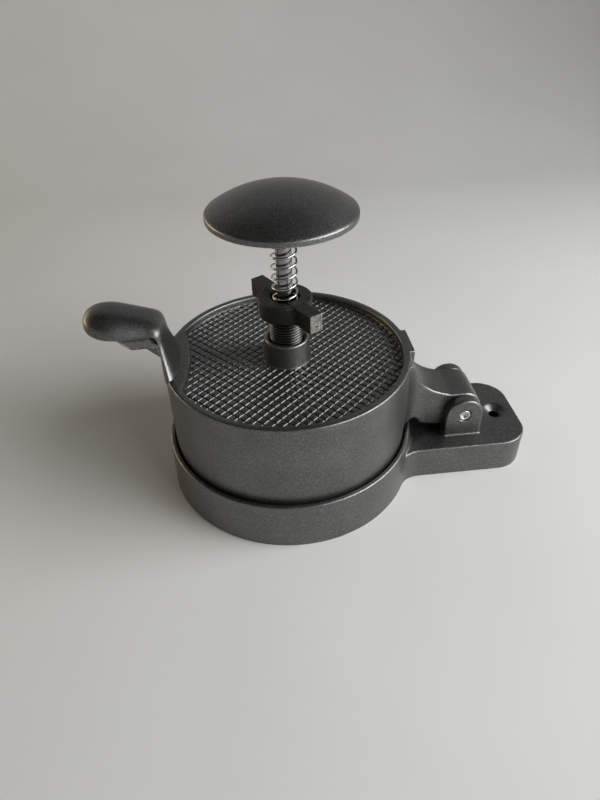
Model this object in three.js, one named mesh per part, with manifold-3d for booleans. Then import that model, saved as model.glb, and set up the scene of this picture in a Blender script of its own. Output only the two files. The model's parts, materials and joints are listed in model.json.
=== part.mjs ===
// Adjustable burger press with a hinged mould lid and a spring-loaded ejector.
// Millimetres, +Z up. The origin is on the mould's axis, at the surface it stands on;
// +X points from that axis to the hinge, and the lid's handle is on the -X side.
import * as THREE from 'three';
import { mergeVertices } from 'three/addons/utils/BufferGeometryUtils.js';
import Module from 'manifold-3d';

const wasm = await Module();
wasm.setup();

// ---------- driving dimensions ----------

const GAP = 0.3; // clearance between pieces that touch
const BIG_FACETS = 84; // sides of a large circle
const SMALL_FACETS = 32; // sides of a small circle

const PATTY_DIAMETER = 114.3; // inside of the mould
const MOULD_WALL = 3.45;
const MOULD_TOP = 71;
const DECK_TOP = 67.5;
const DECK_THICKNESS = 3.2;

const DISH_CLEARANCE = 1; // round the mould, so that its edge can swing out of the dish
const BASE_RIM_WIDTH = 2.3;
const BASE_DRAFT = 0.7; // extra radius at the foot
const BASE_HEIGHT = 26.4;
const DISH_DEPTH = 10;
const BASE_SKIN = 4; // floor and side walls of the hollow casting
const BASE_RIB = 3;
const BASE_RIB_LIFT = 2; // ribs stop short of the table
const BASE_PILLAR_DIAMETER = 24;

const TAIL_REACH = 35.7; // from the hinge's axis to the tail's end
const TAIL_HALF_WIDTH = 26.7;
const TAIL_HEIGHT = 19;
const TAIL_CORNER = 15;
const TAIL_FILLET = 13; // where the tail runs into the round dish
const SCREW_HOLE_REACH = 24.6; // from the hinge's axis
const SCREW_HOLE_DIAMETER = 5.5;
const COUNTERSINK_DIAMETER = 13;
const COUNTERSINK_DEPTH = 2.6;
const SCREW_BOSS_DIAMETER = 16;

const HINGE_REACH = 30.2; // from the mould's wall to the hinge's axis
const HINGE_RISE = 13; // above the tail's top
const HINGE_PIN_DIAMETER = 6;
const PIN_TUBE_BORE = 3.6;
const PIN_TUBE_DEPTH = 1.6;
const PIN_RECESS = 0.3; // the rolled end sits below the ear's face
const PIN_HEAD_DIAMETER = 10;
const PIN_HEAD_THICKNESS = 1.8;
const EAR_RADIUS = 9.8;
const EAR_THICKNESS = 5.6;
const ARM_HALF_WIDTH = 11.5;
const ARM_SIDE_GAP = 0.3;
const BARREL_RADIUS = 10.4;
const ARM_FILLET = 16; // in plan, where the arm runs into the mould
const SHOULDER_REACH = 1.7; // flat shoulder beyond the mould's wall

const BOSS_HEIGHT = 12;
const BOSS_FOOT_DIAMETER = 23.7;
const BOSS_TOP_DIAMETER = 21.8;
const THREAD_DIAMETER = 16.3;
const BOSS_CHAMFER = 1.2;

const COLLAR_BOTTOM = 92.3;
const COLLAR_HEIGHT = 9;
const COLLAR_DIAMETER = 25.3;
const WING_SPAN = 47.3;
const WING_WIDTH = 7;
const WING_LIFT = 0.3; // wings stand this much above the collar's round top
const WING_TURN = -59.5; // degrees from +X
const COLLAR_BORE = 14;
const SPRING_RECESS = 3.4; // from the collar's top down to the sleeve's end
const SLEEVE_BORE = 8.4;

const PATTY_GAP = 34; // dish floor to press plate, as stored
const PLATE_CLEARANCE = 0.6; // round the plate, inside the mould
const PLATE_THICKNESS = 4;
const PLATE_LIP = 2; // raised rim and ribs on the plate's back
const PLATE_LIP_WIDTH = 3;
const PLATE_HUB_DIAMETER = 18;
const PLATE_HUB_HEIGHT = 6;
const PLATE_RIB = 3;
const PLATE_RIBS = 6;

const ROD_DIAMETER = 7.5;
const ROD_SOCKET_DEPTH = 3.4;
const SCREW_SHANK_DIAMETER = 4.6;
const SCREW_LENGTH = 12;
const SCREW_HEAD_DIAMETER = 8.6;
const SCREW_HEAD_HEIGHT = 2;
const SCREW_SLOT_WIDTH = 1.2;
const SCREW_SLOT_DEPTH = 1;
const WASHER_DIAMETER = 10.4;
const WASHER_THICKNESS = 0.9;
const COUNTERBORE_DIAMETER = 11.4;

const KNOB_DIAMETER = 66.1;
const KNOB_RIM_BOTTOM = 139.6;
const KNOB_RIM_HEIGHT = 2.6;
const KNOB_RISE = 10.4; // of the domed top above its rim band
const KNOB_SKIN = 3.6;
const KNOB_HUB_DIAMETER = 13;
const KNOB_HUB_DROP = 1.1; // hub end below the rim
const KNOB_SOCKET_DEPTH = 9;
const KNOB_FACETS = 56;

const SPRING_DIAMETER = 12.5; // outside
const SPRING_WIRE = 1.1;
const SPRING_COILS = 8;
const SPRING_SIDES = 6;
const SPRING_STEPS_PER_COIL = 12;

const HANDLE_FOOT_HALF_WIDTH = 19.5;
const HANDLE_NECK_HALF_WIDTH = 11.2;
const HANDLE_PADDLE_HALF_WIDTH = 13.2;
const HANDLE_SIDES = 16;
const HANDLE_PAD_THICKNESS = 6.7;
const HANDLE_PAD_RADIUS = 100; // inner edge of the pad beside the waffle deck
const HANDLE_PAD_REACH = 9.2; // from the mould's inner wall towards the axis
const HANDLE_RIB = 5;

// ---------- sizes that follow ----------

const mouldInner = PATTY_DIAMETER / 2;
const mouldOuter = mouldInner + MOULD_WALL;
const hingeX = mouldOuter + HINGE_REACH;
const hingeZ = TAIL_HEIGHT + HINGE_RISE;
const tailEnd = hingeX + TAIL_REACH;
const screwHoleX = hingeX + SCREW_HOLE_REACH;
const dishRadius = mouldOuter + DISH_CLEARANCE;
const baseTopRadius = dishRadius + BASE_RIM_WIDTH;
const baseFootRadius = baseTopRadius + BASE_DRAFT;
const dishFloor = BASE_HEIGHT - DISH_DEPTH;
const mouldBottom = dishFloor + GAP;
const deckBottom = DECK_TOP - DECK_THICKNESS;
const bossTop = DECK_TOP + BOSS_HEIGHT;
const earInner = ARM_HALF_WIDTH + ARM_SIDE_GAP;
const earOuter = earInner + EAR_THICKNESS;
const collarTop = COLLAR_BOTTOM + COLLAR_HEIGHT;
const springSeat = collarTop - SPRING_RECESS;
const plateBottom = dishFloor + PATTY_GAP;
const plateHubTop = plateBottom + PLATE_THICKNESS + PLATE_HUB_HEIGHT;
const sleeveBottom = plateHubTop + GAP;
const rodBottom = plateHubTop - ROD_SOCKET_DEPTH + GAP;
const knobHubBottom = KNOB_RIM_BOTTOM - KNOB_HUB_DROP;
const knobSocketTop = knobHubBottom + KNOB_SOCKET_DEPTH;

// ---------- building blocks ----------

// A closed THREE geometry as a solid; its triangles are turned to face out.
function solid(geometry) {
  const bare = new THREE.BufferGeometry();
  bare.setAttribute('position', geometry.getAttribute('position').clone());
  if (geometry.index) bare.setIndex(geometry.index.clone());
  const merged = mergeVertices(bare, 1e-4);
  const points = merged.getAttribute('position').array;
  const index = merged.index.array;
  const corners = [];
  let volume = 0;
  const [a, b, c] = [new THREE.Vector3(), new THREE.Vector3(), new THREE.Vector3()];
  for (let i = 0; i < index.length; i += 3) {
    const [p, q, r] = index.slice(i, i + 3);
    if (p === q || q === r || r === p) continue;
    corners.push(p, q, r);
    a.fromArray(points, 3 * p);
    b.fromArray(points, 3 * q);
    c.fromArray(points, 3 * r);
    volume += a.dot(b.cross(c));
  }
  if (volume < 0) corners.reverse();
  return new wasm.Manifold(new wasm.Mesh({
    numProp: 3,
    vertProperties: new Float32Array(points),
    triVerts: new Uint32Array(corners),
  }));
}

function geometryOf(body) {
  const mesh = body.getMesh();
  const geometry = new THREE.BufferGeometry();
  geometry.setAttribute('position', new THREE.BufferAttribute(mesh.vertProperties, 3));
  geometry.setIndex(new THREE.BufferAttribute(mesh.triVerts, 1));
  geometry.computeVertexNormals();
  return geometry;
}

// A profile of [radius, z] points turned about the Z axis.
function turned(profile, facets = BIG_FACETS) {
  const points = profile.map(([r, z]) => new THREE.Vector2(r, z));
  const geometry = new THREE.LatheGeometry(points, facets);
  geometry.rotateX(Math.PI / 2);
  return solid(geometry);
}

function rod(diameter, bottom, top, facets = SMALL_FACETS) {
  const r = diameter / 2;
  return turned([[0, bottom], [r, bottom], [r, top], [0, top]], facets);
}

function cone(bottomDiameter, topDiameter, bottom, top) {
  const profile = [[0, bottom], [bottomDiameter / 2, bottom], [topDiameter / 2, top], [0, top]];
  return turned(profile, SMALL_FACETS);
}

function block(minX, maxX, minY, maxY, minZ, maxZ) {
  const geometry = new THREE.BoxGeometry(maxX - minX, maxY - minY, maxZ - minZ);
  geometry.translate((minX + maxX) / 2, (minY + maxY) / 2, (minZ + maxZ) / 2);
  return solid(geometry);
}

// An outline in the XY plane, raised from bottom to top.
function raised(shape, bottom, top, curveSegments = 10) {
  const settings = { depth: top - bottom, bevelEnabled: false, curveSegments };
  const geometry = new THREE.ExtrudeGeometry(shape, settings);
  geometry.translate(0, 0, bottom);
  return solid(geometry);
}

// An outline in the XZ plane, spread from minY to maxY.
function sideways(shape, minY, maxY, curveSegments = 10) {
  const settings = { depth: maxY - minY, bevelEnabled: false, curveSegments };
  const geometry = new THREE.ExtrudeGeometry(shape, settings);
  geometry.rotateX(Math.PI / 2);
  geometry.translate(0, maxY, 0);
  return solid(geometry);
}

// A round bar along Y through the hinge's axis.
function hingeBar(diameter, minY, maxY) {
  const shape = new THREE.Shape();
  shape.absarc(hingeX, hingeZ, diameter / 2, 0, 2 * Math.PI, false);
  return sideways(shape, minY, maxY, SMALL_FACETS);
}

// A skin over rings of points that all have the same count, closed by a fan at each end.
function lofted(rings) {
  const count = rings[0].length;
  const points = rings.flat();
  const index = [];
  for (let ring = 0; ring + 1 < rings.length; ring += 1) {
    for (let side = 0; side < count; side += 1) {
      const next = (side + 1) % count;
      const [a, b] = [ring * count + side, ring * count + next];
      index.push(a, b, a + count, b, b + count, a + count);
    }
  }
  for (const [ring, turn] of [[0, 1], [rings.length - 1, -1]]) {
    const middle = rings[ring].reduce((sum, point) => sum.add(point), new THREE.Vector3());
    points.push(middle.divideScalar(count));
    for (let side = 0; side < count; side += 1) {
      const [a, b] = [ring * count + side, ring * count + ((side + 1) % count)];
      index.push(points.length - 1, turn > 0 ? b : a, turn > 0 ? a : b);
    }
  }
  const geometry = new THREE.BufferGeometry().setFromPoints(points);
  geometry.setIndex(index);
  return solid(geometry);
}

// ---------- base ----------

// The tail's outline, drawn in by inset, with rounded outer corners and a fillet at the dish.
function tailOutline(inset) {
  const half = TAIL_HALF_WIDTH - inset;
  const end = tailEnd - inset;
  const corner = TAIL_CORNER - inset;
  const rim = baseTopRadius - inset;
  const fillet = TAIL_FILLET + inset;
  const filletX = Math.sqrt((rim + fillet) ** 2 - (half + fillet) ** 2);
  const meet = rim / (rim + fillet);
  const touch = Math.atan2((half + fillet) * (1 - meet), filletX * (1 - meet));
  const shape = new THREE.Shape();
  shape.moveTo(0, -(half + fillet) * meet);
  shape.lineTo(filletX * meet, -(half + fillet) * meet);
  shape.absarc(filletX, -half - fillet, fillet, Math.PI - touch, Math.PI / 2, true);
  shape.lineTo(end - corner, -half);
  shape.absarc(end - corner, -half + corner, corner, -Math.PI / 2, 0, false);
  shape.lineTo(end, half - corner);
  shape.absarc(end - corner, half - corner, corner, 0, Math.PI / 2, false);
  shape.lineTo(filletX, half);
  shape.absarc(filletX, half + fillet, fillet, -Math.PI / 2, touch - Math.PI, true);
  shape.lineTo(0, (half + fillet) * meet);
  return shape;
}

function hingeEar(minY, maxY) {
  const shape = new THREE.Shape();
  shape.moveTo(hingeX - EAR_RADIUS, TAIL_HEIGHT - BASE_SKIN / 2);
  shape.lineTo(hingeX + EAR_RADIUS, TAIL_HEIGHT - BASE_SKIN / 2);
  shape.lineTo(hingeX + EAR_RADIUS, hingeZ);
  shape.absarc(hingeX, hingeZ, EAR_RADIUS, 0, Math.PI, false);
  return sideways(shape, minY, maxY, 14);
}

function baseCasting() {
  const dishWall = turned([
    [0, 0], [baseFootRadius, 0], [baseTopRadius, BASE_HEIGHT], [0, BASE_HEIGHT],
  ]);
  const tail = raised(tailOutline(0), 0, TAIL_HEIGHT);
  const underDish = rod(2 * (baseTopRadius - BASE_SKIN), -1, dishFloor - BASE_SKIN, BIG_FACETS);
  const underTail = raised(tailOutline(BASE_SKIN), -1, TAIL_HEIGHT - BASE_SKIN);
  const roof = rod(4 * tailEnd, dishFloor - BASE_SKIN, BASE_HEIGHT, SMALL_FACETS);
  const tailRoom = underTail.subtract(roof.intersect(
    rod(2 * (dishRadius + BASE_SKIN), dishFloor - BASE_SKIN, BASE_HEIGHT, BIG_FACETS),
  ));
  let casting = dishWall.add(tail).subtract(underDish.add(tailRoom));
  const ribTop = dishFloor - BASE_SKIN / 2;
  const ribEnd = baseTopRadius - BASE_SKIN / 2;
  for (const angle of [0, 60, 120]) {
    const rib = block(-ribEnd, ribEnd, -BASE_RIB / 2, BASE_RIB / 2, BASE_RIB_LIFT, ribTop);
    casting = casting.add(rib.rotate([0, 0, angle]));
  }
  casting = casting.add(rod(BASE_PILLAR_DIAMETER, 0, ribTop));
  const tailRib = [ribEnd, tailEnd - BASE_SKIN / 2];
  casting = casting.add(
    block(...tailRib, -BASE_RIB / 2, BASE_RIB / 2, BASE_RIB_LIFT, TAIL_HEIGHT - BASE_SKIN / 2),
  );
  const screwBoss = rod(SCREW_BOSS_DIAMETER, 0, TAIL_HEIGHT - BASE_SKIN / 2);
  casting = casting.add(screwBoss.translate([screwHoleX, 0, 0]));
  casting = casting.add(hingeEar(-earOuter, -earInner)).add(hingeEar(earInner, earOuter));
  const screwHole = rod(SCREW_HOLE_DIAMETER, -1, TAIL_HEIGHT + 1).add(
    cone(SCREW_HOLE_DIAMETER, COUNTERSINK_DIAMETER, TAIL_HEIGHT - COUNTERSINK_DEPTH, TAIL_HEIGHT),
  );
  return casting
    .subtract(rod(2 * dishRadius, dishFloor, BASE_HEIGHT + 1, BIG_FACETS))
    .subtract(screwHole.translate([screwHoleX, 0, 0]))
    .subtract(hingeBar(HINGE_PIN_DIAMETER + 2 * GAP, -earOuter - 1, earOuter + 1));
}

// A tubular rivet along the hinge: a head behind the far ear, a rolled end in the near one.
function hingeRivet() {
  const nearEnd = -earOuter + PIN_RECESS;
  const headBottom = earOuter + GAP;
  const profile = new THREE.Shape();
  const headRadius = PIN_HEAD_DIAMETER / 2;
  profile.absarc(hingeX, hingeZ, headRadius, 0, 2 * Math.PI, false);
  return hingeBar(HINGE_PIN_DIAMETER, nearEnd, headBottom + PIN_HEAD_THICKNESS / 2)
    .add(sideways(profile, headBottom, headBottom + PIN_HEAD_THICKNESS, 24))
    .subtract(hingeBar(PIN_TUBE_BORE, nearEnd - 1, nearEnd + PIN_TUBE_DEPTH));
}

// ---------- lid ----------

// The arm's side view: its top sweeps down from the mould to a barrel round the pin.
function armProfile() {
  const root = mouldInner - 5;
  const shape = new THREE.Shape();
  shape.moveTo(root, DECK_TOP - 2);
  shape.lineTo(mouldOuter - 1, DECK_TOP - 0.5);
  shape.lineTo(mouldOuter + SHOULDER_REACH, 62);
  shape.quadraticCurveTo(mouldOuter + 5, 46.5, hingeX - 7, hingeZ + BARREL_RADIUS);
  shape.lineTo(hingeX, hingeZ + BARREL_RADIUS);
  shape.absarc(hingeX, hingeZ, BARREL_RADIUS, Math.PI / 2, -Math.PI / 2, true);
  shape.lineTo(hingeX - 17, TAIL_HEIGHT + 4.5);
  shape.quadraticCurveTo(hingeX - 22, TAIL_HEIGHT + 4.5, mouldOuter + 6.6, BASE_HEIGHT + 0.8);
  shape.quadraticCurveTo(mouldOuter + 5, BASE_HEIGHT + 3.6, mouldOuter + 3, BASE_HEIGHT + 3.6);
  shape.lineTo(root, BASE_HEIGHT + 3.8);
  return shape;
}

// The arm's plan: straight sides with a fillet where they run into the round mould.
function armPlan() {
  const reach = ARM_HALF_WIDTH + ARM_FILLET;
  const filletX = Math.sqrt((mouldOuter + ARM_FILLET) ** 2 - reach ** 2);
  const meet = mouldOuter / (mouldOuter + ARM_FILLET);
  const touch = Math.atan2(reach, filletX);
  const end = hingeX + BARREL_RADIUS + 1;
  const shape = new THREE.Shape();
  shape.moveTo(mouldInner - 6, -reach * meet);
  shape.absarc(filletX, -reach, ARM_FILLET, Math.PI - touch, Math.PI / 2, true);
  shape.lineTo(end, -ARM_HALF_WIDTH);
  shape.lineTo(end, ARM_HALF_WIDTH);
  shape.absarc(filletX, reach, ARM_FILLET, -Math.PI / 2, touch - Math.PI, true);
  shape.lineTo(mouldInner - 6, reach * meet);
  return shape;
}

function hingeArm() {
  const widest = ARM_HALF_WIDTH + ARM_FILLET;
  const side = sideways(armProfile(), -widest, widest, 12);
  const plan = raised(armPlan(), 0, MOULD_TOP + 1, 8);
  const shoulderEnd = mouldOuter + SHOULDER_REACH;
  const shoulderRoot = mouldInner + MOULD_WALL / 2;
  const shoulder = block(shoulderRoot, shoulderEnd, -10, 10, 58, MOULD_TOP);
  return side.intersect(plan).add(shoulder);
}

// One cross-section of the handle, square to its path. It bulges by outer to the path's
// outside, which becomes the paddle's underside, and by inner to its inside, the paddle's top.
function handleSection({ x, z, bend, half, outer, inner }) {
  const slope = THREE.MathUtils.degToRad(bend);
  const outward = new THREE.Vector3(-Math.sin(slope), 0, Math.cos(slope));
  const ring = [];
  for (let side = 0; side < HANDLE_SIDES; side += 1) {
    const angle = (2 * Math.PI * side) / HANDLE_SIDES;
    const [cos, sin] = [Math.cos(angle), Math.sin(angle)];
    const across = half * Math.sign(cos) * Math.abs(cos) ** 0.8;
    const point = new THREE.Vector3(x, across, z);
    ring.push(point.addScaledVector(outward, sin * (sin > 0 ? outer : inner)));
  }
  return ring;
}

// The handle rises from the pad as a tapering foot, bends outward and ends in a domed paddle.
function handle() {
  const wall = mouldOuter;
  const top = MOULD_TOP;
  const foot = HANDLE_FOOT_HALF_WIDTH;
  const neck = HANDLE_NECK_HALF_WIDTH;
  const paddle = HANDLE_PADDLE_HALF_WIDTH;
  const sections = [
    { x: -wall + 3.5, z: top - 1, bend: 90, half: foot, outer: 3.4, inner: 4.8 },
    { x: -wall + 2.6, z: top + 4, bend: 90, half: 0.84 * foot, outer: 2.6, inner: 4 },
    { x: -wall + 1.7, z: top + 10, bend: 90, half: 0.69 * foot, outer: 1.8, inner: 3.3 },
    { x: -wall + 1, z: top + 15.5, bend: 95, half: neck, outer: 1.4, inner: 3 },
    { x: -wall - 0.6, z: top + 19.6, bend: 130, half: neck, outer: 1.6, inner: 4.2 },
    { x: -wall - 5, z: top + 20.2, bend: 172, half: neck, outer: 2.2, inner: 6.4 },
    { x: -wall - 12, z: top + 20.4, bend: 180, half: 0.93 * paddle, outer: 2, inner: 8.6 },
    { x: -wall - 19, z: top + 20.9, bend: 182, half: paddle, outer: 1.6, inner: 10 },
    { x: -wall - 24.6, z: top + 21.7, bend: 184, half: 0.95 * paddle, outer: 1.4, inner: 9.2 },
    { x: -wall - 28.6, z: top + 22.6, bend: 187, half: 0.77 * paddle, outer: 1.2, inner: 7 },
    { x: -wall - 31, z: top + 23.4, bend: 190, half: 0.54 * paddle, outer: 1, inner: 4.4 },
    { x: -wall - 32.2, z: top + 24, bend: 190, half: 0.26 * paddle, outer: 0.6, inner: 1.8 },
  ];
  const rib = new THREE.Shape();
  rib.moveTo(-wall + 1, top + 5);
  rib.lineTo(-wall - 15, top + 19.4);
  rib.lineTo(-wall - 15, top + 22);
  rib.lineTo(-wall - 4, top + 22);
  rib.lineTo(-wall + 1.5, top + 16);
  return lofted(sections.map(handleSection))
    .add(sideways(rib, -HANDLE_RIB / 2, HANDLE_RIB / 2));
}

// The crescent at rim level that the handle stands on.
function handlePad() {
  const edge = -mouldInner + HANDLE_PAD_REACH;
  const inside = rod(2 * (mouldInner + MOULD_WALL / 2), DECK_TOP - 1, MOULD_TOP, BIG_FACETS);
  const round = rod(2 * HANDLE_PAD_RADIUS, DECK_TOP - 2, MOULD_TOP + 1, 2 * BIG_FACETS)
    .translate([edge - HANDLE_PAD_RADIUS, 0, 0]);
  const leftHalf = block(-2 * mouldOuter, -mouldInner / 2, -mouldOuter, mouldOuter,
    MOULD_TOP - HANDLE_PAD_THICKNESS, MOULD_TOP + 1);
  return inside.intersect(leftHalf).intersect(round);
}

// One casting: mould ring, deck, threaded boss, hinge arm and handle.
function lidCasting() {
  const shell = turned([
    [0, deckBottom], [mouldInner, deckBottom], [mouldInner, mouldBottom],
    [mouldOuter, mouldBottom], [mouldOuter, MOULD_TOP], [mouldInner, MOULD_TOP],
    [mouldInner, DECK_TOP], [0, DECK_TOP],
  ]);
  const bore = THREAD_DIAMETER + 2 * GAP;
  const boss = cone(BOSS_FOOT_DIAMETER, BOSS_TOP_DIAMETER, DECK_TOP - 1, bossTop);
  const chamfer = cone(bore, bore + 2 * BOSS_CHAMFER, bossTop - BOSS_CHAMFER, bossTop + 0.001);
  const mouldRoom = rod(PATTY_DIAMETER, 0, deckBottom, BIG_FACETS);
  return shell
    .add(boss)
    .add(handlePad())
    .add(hingeArm())
    .add(handle())
    .subtract(mouldRoom)
    .subtract(rod(bore, 0, bossTop + 1).add(chamfer))
    .subtract(hingeBar(HINGE_PIN_DIAMETER + 2 * GAP, -earInner, earInner));
}

// ---------- adjuster ----------

function wingedCollar() {
  const disc = rod(COLLAR_DIAMETER, COLLAR_BOTTOM, collarTop);
  const wings = block(-WING_SPAN / 2, WING_SPAN / 2, -WING_WIDTH / 2, WING_WIDTH / 2,
    COLLAR_BOTTOM + WING_LIFT, collarTop + WING_LIFT);
  return disc.add(wings.rotate([0, 0, WING_TURN]))
    .subtract(rod(COLLAR_BORE, COLLAR_BOTTOM - 1, collarTop + 1));
}

function threadedSleeve() {
  const bore = SLEEVE_BORE / 2;
  const spigot = COLLAR_BORE / 2 - GAP;
  const shoulder = COLLAR_BOTTOM - GAP;
  const top = springSeat - GAP;
  return turned([
    [bore, sleeveBottom], [THREAD_DIAMETER / 2, sleeveBottom], [THREAD_DIAMETER / 2, shoulder],
    [spigot, shoulder], [spigot, top], [bore, top], [bore, sleeveBottom],
  ], SMALL_FACETS);
}

// ---------- ejector ----------

class Helix extends THREE.Curve {
  constructor(radius, bottom, top, coils) {
    super();
    Object.assign(this, { radius, bottom, top, coils });
  }

  getPoint(t, target = new THREE.Vector3()) {
    const angle = 2 * Math.PI * this.coils * t;
    const z = THREE.MathUtils.lerp(this.bottom, this.top, t);
    return target.set(this.radius * Math.cos(angle), this.radius * Math.sin(angle), z);
  }
}

function returnSpring() {
  const wire = SPRING_WIRE / 2;
  const path = new Helix(
    SPRING_DIAMETER / 2 - wire, springSeat + wire, knobHubBottom - GAP - wire, SPRING_COILS,
  );
  const section = new THREE.Shape();
  for (let side = 0; side < SPRING_SIDES; side += 1) {
    const angle = (2 * Math.PI * side) / SPRING_SIDES;
    const draw = side === 0 ? 'moveTo' : 'lineTo';
    section[draw](wire * Math.cos(angle), wire * Math.sin(angle));
  }
  const steps = SPRING_COILS * SPRING_STEPS_PER_COIL;
  return solid(new THREE.ExtrudeGeometry(section, { steps, extrudePath: path }));
}

function plungerRod() {
  const top = knobSocketTop - GAP;
  const tapped = rod(SCREW_SHANK_DIAMETER + 2 * GAP, 0, rodBottom + SCREW_LENGTH);
  return rod(ROD_DIAMETER, rodBottom, top).subtract(tapped);
}

// A shallow spherical dome over a rim band, hollow below round a central hub.
function palmKnob() {
  const radius = KNOB_DIAMETER / 2;
  const bandTop = KNOB_RIM_BOTTOM + KNOB_RIM_HEIGHT;
  const sphere = (radius ** 2 + KNOB_RISE ** 2) / (2 * KNOB_RISE);
  const centre = bandTop + KNOB_RISE - sphere;
  const arc = (from, to, r, steps) => Array.from({ length: steps + 1 }, (unused, i) => {
    const angle = THREE.MathUtils.lerp(from, to, i / steps);
    return [r * Math.sin(angle), centre + r * Math.cos(angle)];
  });
  const inner = sphere - KNOB_SKIN;
  const hub = KNOB_HUB_DIAMETER / 2;
  const lipInner = radius - KNOB_SKIN;
  const top = arc(0, Math.asin(radius / sphere), sphere, 8);
  top[0][0] = 0;
  const under = arc(Math.asin(lipInner / inner), Math.asin(hub / inner), inner, 5);
  const profile = [
    ...top, [radius, KNOB_RIM_BOTTOM], [lipInner, KNOB_RIM_BOTTOM],
    ...under, [hub, knobHubBottom], [0, knobHubBottom],
  ];
  return turned(profile, KNOB_FACETS)
    .subtract(rod(ROD_DIAMETER + 2 * GAP, knobHubBottom - 1, knobSocketTop));
}

function pressPlate() {
  const radius = mouldInner - PLATE_CLEARANCE;
  const back = plateBottom + PLATE_THICKNESS;
  const lip = radius - PLATE_LIP_WIDTH;
  let plate = turned([
    [0, plateBottom], [radius, plateBottom], [radius, back + PLATE_LIP],
    [lip, back + PLATE_LIP], [lip, back], [0, back],
  ]);
  for (let n = 0; n < PLATE_RIBS; n += 1) {
    const rib = block(0, lip + 1, -PLATE_RIB / 2, PLATE_RIB / 2, back - 1, back + PLATE_LIP);
    plate = plate.add(rib.rotate([0, 0, (360 * n) / PLATE_RIBS]));
  }
  const counterbore = WASHER_THICKNESS + SCREW_HEAD_HEIGHT + 2 * GAP;
  return plate
    .add(rod(PLATE_HUB_DIAMETER, back - 1, plateHubTop))
    .subtract(rod(ROD_DIAMETER + 2 * GAP, plateHubTop - ROD_SOCKET_DEPTH, plateHubTop + 1))
    .subtract(rod(SCREW_SHANK_DIAMETER + 2 * GAP, 0, plateHubTop + 1))
    .subtract(rod(COUNTERBORE_DIAMETER, plateBottom - 1, plateBottom + counterbore));
}

const screwHeadBottom = plateBottom;
const screwHeadTop = screwHeadBottom + SCREW_HEAD_HEIGHT;
const washerBottom = screwHeadTop + GAP;

function plateWasher() {
  return rod(WASHER_DIAMETER, washerBottom, washerBottom + WASHER_THICKNESS)
    .subtract(rod(SCREW_SHANK_DIAMETER + 2 * GAP, 0, bossTop));
}

function plateScrew() {
  const slot = block(-SCREW_HEAD_DIAMETER, SCREW_HEAD_DIAMETER,
    -SCREW_SLOT_WIDTH / 2, SCREW_SLOT_WIDTH / 2,
    screwHeadBottom - 1, screwHeadBottom + SCREW_SLOT_DEPTH);
  return rod(SCREW_HEAD_DIAMETER, screwHeadBottom, screwHeadTop)
    .add(rod(SCREW_SHANK_DIAMETER, screwHeadTop - 0.5, rodBottom + SCREW_LENGTH - GAP))
    .subtract(slot);
}

// ---------- assembly ----------

const castFinish = { color: 0x4c4d4e, roughness: 0.45, metalness: 0.7 };
const chromeFinish = { color: 0xc9c9c6, roughness: 0.15, metalness: 1 };
const zincFinish = { color: 0xa9a9a5, roughness: 0.35, metalness: 1 };

function piece(name, body, finish) {
  const mesh = new THREE.Mesh(geometryOf(body), new THREE.MeshStandardMaterial(finish));
  mesh.name = name;
  return mesh;
}

const press = new THREE.Group();
press.add(
  piece('base_casting', baseCasting(), castFinish),
  piece('hinge_rivet', hingeRivet(), zincFinish),
  piece('lid_casting', lidCasting(), castFinish),
  piece('winged_collar', wingedCollar(), { color: 0x232322, roughness: 0.8, metalness: 0.2 }),
  piece('threaded_sleeve', threadedSleeve(), { color: 0x8a8985, roughness: 0.4, metalness: 1 }),
  piece('return_spring', returnSpring(), chromeFinish),
  piece('plunger_rod', plungerRod(), chromeFinish),
  piece('palm_knob', palmKnob(), castFinish),
  piece('press_plate', pressPlate(), castFinish),
  piece('plate_washer', plateWasher(), zincFinish),
  piece('plate_screw', plateScrew(), zincFinish),
);

export default press;
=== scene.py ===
"""Finished look of a cast burger press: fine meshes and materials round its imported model."""

import json
import math

import bmesh
import bpy
import numpy as np
from bpy.props import FloatProperty, FloatVectorProperty, PointerProperty
from mathutils import Matrix, Vector


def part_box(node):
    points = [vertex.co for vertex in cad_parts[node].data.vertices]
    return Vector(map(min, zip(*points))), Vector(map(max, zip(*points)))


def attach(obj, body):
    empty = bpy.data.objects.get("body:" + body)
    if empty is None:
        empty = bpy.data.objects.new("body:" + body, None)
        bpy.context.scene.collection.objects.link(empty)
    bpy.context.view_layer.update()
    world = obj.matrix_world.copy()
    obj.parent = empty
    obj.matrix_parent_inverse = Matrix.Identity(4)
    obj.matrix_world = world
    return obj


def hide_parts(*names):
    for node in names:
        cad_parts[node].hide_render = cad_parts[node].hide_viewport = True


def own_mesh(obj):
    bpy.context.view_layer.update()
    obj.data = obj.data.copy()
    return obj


bl_info = {
    "name": "Burger press finish",
    "version": (1, 0, 0),
    "blender": (4, 5, 0),
    "location": "3D View > Sidebar > Burger press",
    "description": "Builds the castings, adjuster, ejector and stage of a cast burger press",
    "category": "Add Mesh",
}

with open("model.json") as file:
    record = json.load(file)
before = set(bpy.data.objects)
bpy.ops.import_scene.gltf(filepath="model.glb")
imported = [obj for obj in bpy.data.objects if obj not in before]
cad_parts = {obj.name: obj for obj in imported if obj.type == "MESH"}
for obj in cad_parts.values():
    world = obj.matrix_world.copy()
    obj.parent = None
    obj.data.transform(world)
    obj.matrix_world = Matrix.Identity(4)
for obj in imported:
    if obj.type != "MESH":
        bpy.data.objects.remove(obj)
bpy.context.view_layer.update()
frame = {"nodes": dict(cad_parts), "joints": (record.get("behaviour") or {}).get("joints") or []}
MM = 0.001

# ---------- sizes in millimetres ----------


def node_box(node):
    """Lowest and highest corners of a CAD node, in millimetres."""
    low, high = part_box(node)
    return np.array(low) / MM, np.array(high) / MM


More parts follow.
